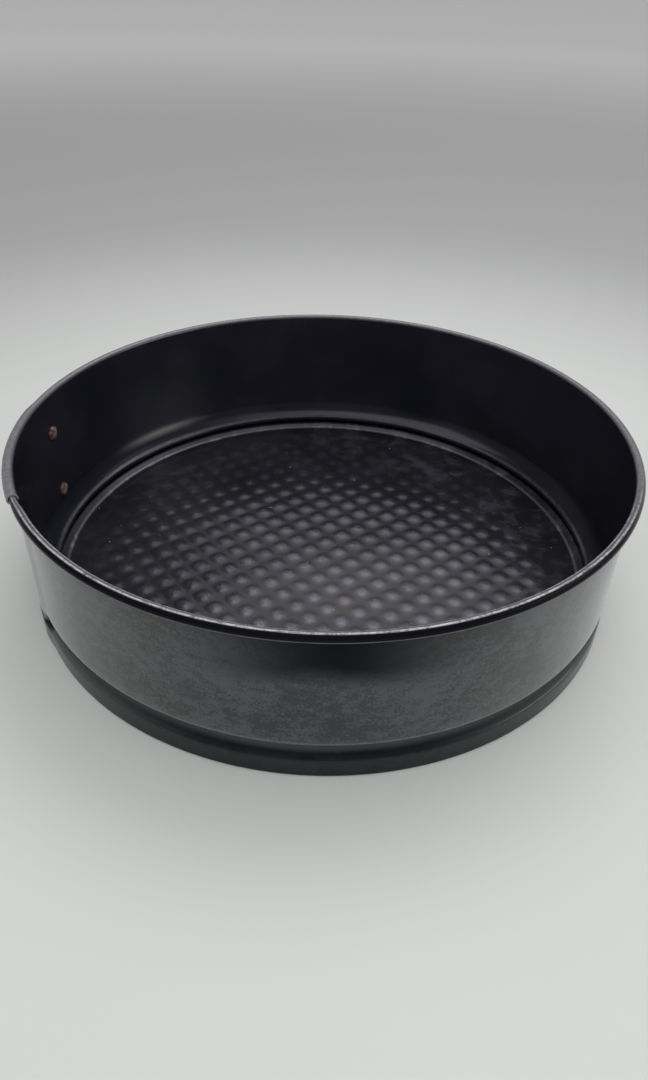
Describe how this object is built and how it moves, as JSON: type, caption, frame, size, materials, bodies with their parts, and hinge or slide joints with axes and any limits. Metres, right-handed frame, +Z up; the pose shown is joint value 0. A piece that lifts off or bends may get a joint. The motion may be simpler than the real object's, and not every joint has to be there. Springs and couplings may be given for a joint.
{
  "type": "springform baking pan",
  "caption": "Round springform baking pan: split coated steel band with a rolled rim and pressed bead, loose waffle-embossed base plate, and a side toggle buckle that opens the band.",
  "frame": {"origin": "on the pan's axis, on the plane that the pan stands on", "axes": "+Z up along the pan's axis, -Y towards the picture's viewer, -X towards the buckle"},
  "size_m": [0.2706, 0.2678, 0.072],
  "materials": {
    "coated_base": "dark satin non-stick coating, worn on the bumps",
    "coated_band": "dark satin non-stick coating, scuffed outside",
    "plated_buckle": "tin-plated sheet steel, lightly stained",
    "plated_wire": "drawn tinned wire",
    "rusted_rivet": "steel with brown rust"
  },
  "bodies": {
    "base": {"base_plate": "coated_base"},
    "band": {"band": "coated_band", "lever_bracket": "plated_buckle", "bracket_rivet_lower": "rusted_rivet", "bracket_rivet_upper": "rusted_rivet", "lever_pin": "plated_buckle"},
    "lever": {"lever": "plated_buckle"},
    "bail": {"bail": "plated_wire"},
    "catch_end": {"catch_plate": "plated_buckle", "catch_rivet_lower": "plated_buckle", "catch_rivet_upper": "plated_buckle"}
  },
  "joints": [
    {"name": "band_lift", "type": "slide", "parent": "base", "child": "band", "axis": [0, 0, 1], "range_m": [0, 0.09]},
    {"name": "lever_swing", "type": "hinge", "parent": "band", "child": "lever", "pos_m": [-0.13393, 0.02121, 0.0375], "axis": [0, 0, 1], "range_deg": [0, 130]},
    {"name": "bail_swing", "type": "hinge", "parent": "lever", "child": "bail", "pos_m": [-0.13152, 0.03197, 0.0375], "axis": [0, 0, 1], "range_deg": [-170.5, 0]},
    {"name": "band_spring", "type": "hinge", "parent": "band", "child": "catch_end", "pos_m": [0.1303, 0, 0.0375], "axis": [0, 0, 1], "range_deg": [0, 3.35], "deforming": ["band"]}
  ],
  "couplings": [
    {"joint": "bail_swing", "follows": "lever_swing", "ratio": -1.3077},
    {"joint": "band_spring", "follows": "lever_swing", "ratio": 0.025385}
  ]
}
